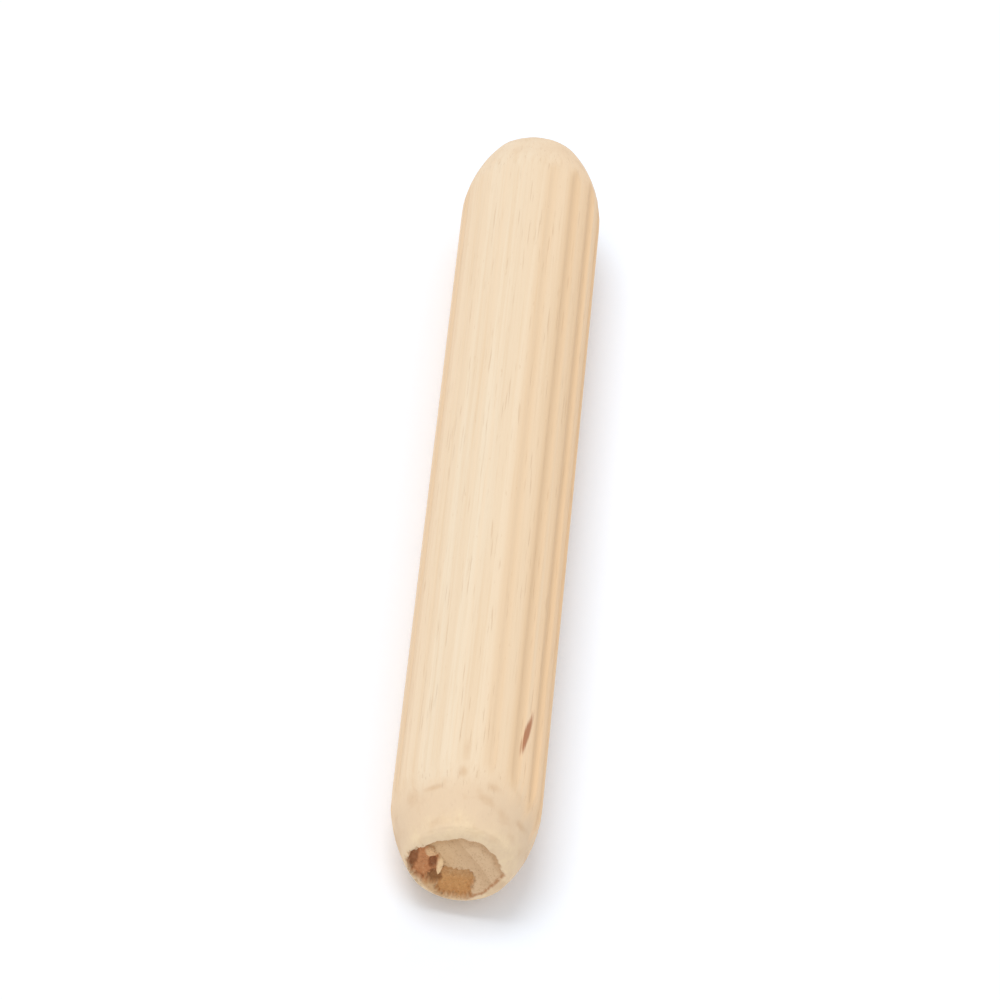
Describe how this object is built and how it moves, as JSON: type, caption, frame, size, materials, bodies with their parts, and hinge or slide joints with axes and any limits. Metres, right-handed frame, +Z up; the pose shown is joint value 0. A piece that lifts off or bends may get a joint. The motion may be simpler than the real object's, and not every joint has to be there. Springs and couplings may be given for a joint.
{
  "type": "dowel pin",
  "caption": "Fluted wooden dowel pin with convex bevelled ends and sawn flats, pressed with glue into drilled holes to join two boards.",
  "frame": {"origin": "on the pin's axis at mid-length", "axes": "+X along the pin towards the end that faces the camera in the picture, +Z up from the surface that the pin lies on"},
  "size_m": [0.0636, 0.009, 0.0091],
  "materials": {
    "wood": "bare, smooth pale hardwood with fine lengthwise grain and darker sawn ends"
  },
  "bodies": {
    "root": {"dowel_pin": "wood"}
  },
  "joints": []
}
